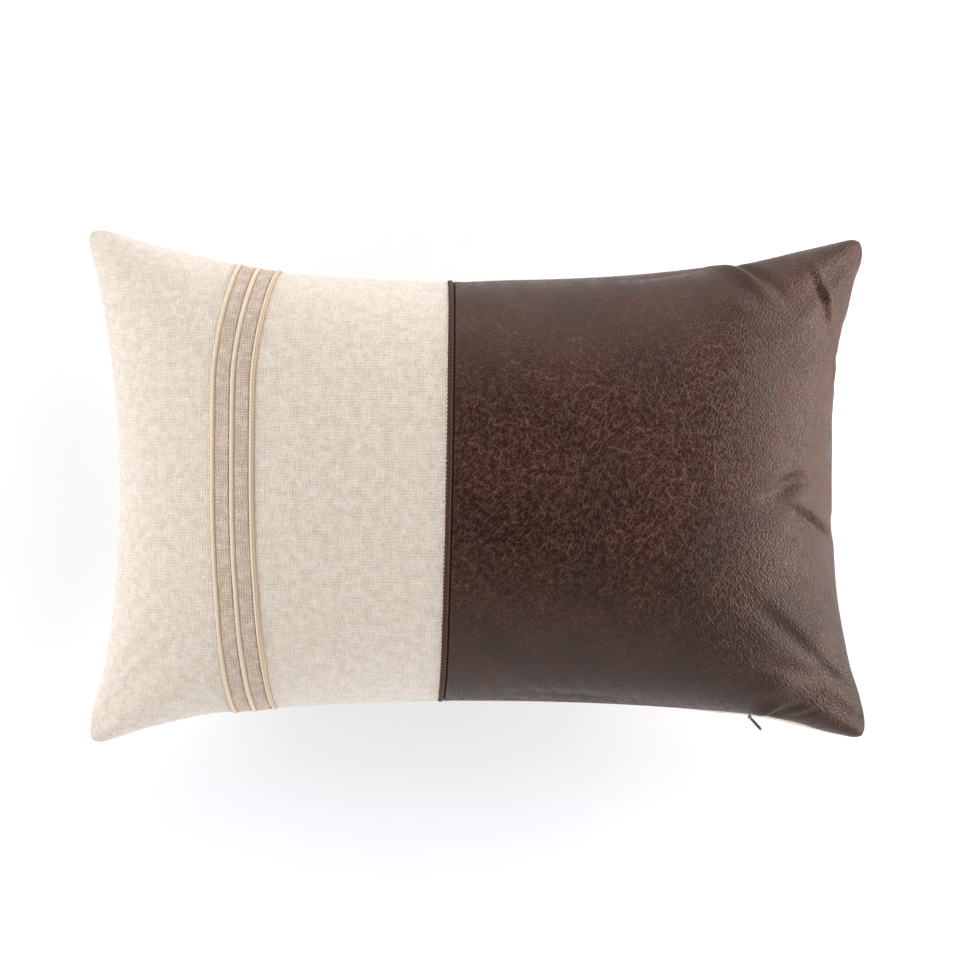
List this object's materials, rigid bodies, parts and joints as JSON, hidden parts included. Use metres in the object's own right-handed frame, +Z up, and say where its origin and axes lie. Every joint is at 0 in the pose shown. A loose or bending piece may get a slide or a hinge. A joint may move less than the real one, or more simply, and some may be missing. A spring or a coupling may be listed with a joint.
{
  "type": "throw pillow",
  "caption": "Rectangular throw pillow with a woven and a leather face part, an applied stripe, a concealed zip in its lower seam and a separate filled insert.",
  "frame": {"origin": "on the floor under the middle of the pillow's outline, with the pillow lying on its back", "axes": "+X along the long side towards the leather part, +Y along the short side away from the zip seam, +Z up out of the face"},
  "size_m": [0.599, 0.394, 0.1743],
  "materials": {
    "cream_fabric": "matte",
    "brown_leather": "satin",
    "back_fabric": "matte",
    "taupe_band": "matte",
    "satin_cord": "satin",
    "ribbed_trim": "satin",
    "seam_thread": "satin",
    "zip_tape": "matte",
    "zip_coil": "satin",
    "zip_metal": "satin",
    "insert_cloth": "matte",
    "fibre_fill": "matte"
  },
  "bodies": {
    "cover": {"front_fabric_panel": "cream_fabric", "front_leather_panel": "brown_leather", "back_panel": "back_fabric", "stripe_band_left": "taupe_band", "stripe_band_right": "taupe_band", "stripe_cord_left": "satin_cord", "stripe_cord_middle": "satin_cord", "stripe_cord_right": "satin_cord", "centre_trim": "ribbed_trim", "seam_thread": "seam_thread", "zipper_tape_front": "zip_tape", "zipper_tape_back": "zip_tape", "zipper_coil_front": "zip_coil", "zipper_coil_back": "zip_coil", "zipper_top_stop_front": "zip_metal", "zipper_top_stop_back": "zip_metal", "zipper_bottom_stop": "zip_metal", "insert_shell_front": "insert_cloth", "insert_shell_back": "insert_cloth", "insert_fill": "fibre_fill"},
    "slider": {"slider_body": "zip_metal"},
    "tab": {"pull_tab": "zip_metal"}
  },
  "joints": [
    {"name": "zip_travel", "type": "hinge", "parent": "cover", "child": "slider", "pos_m": [0, -2.3152, 0.078], "axis": [0, 0, 1], "range_deg": [0, 11.3]},
    {"name": "tab_swing", "type": "hinge", "parent": "slider", "child": "tab", "pos_m": [0.21134, -0.17883, 0.078], "axis": [0, 0, 1], "range_deg": [-130, 35]}
  ]
}
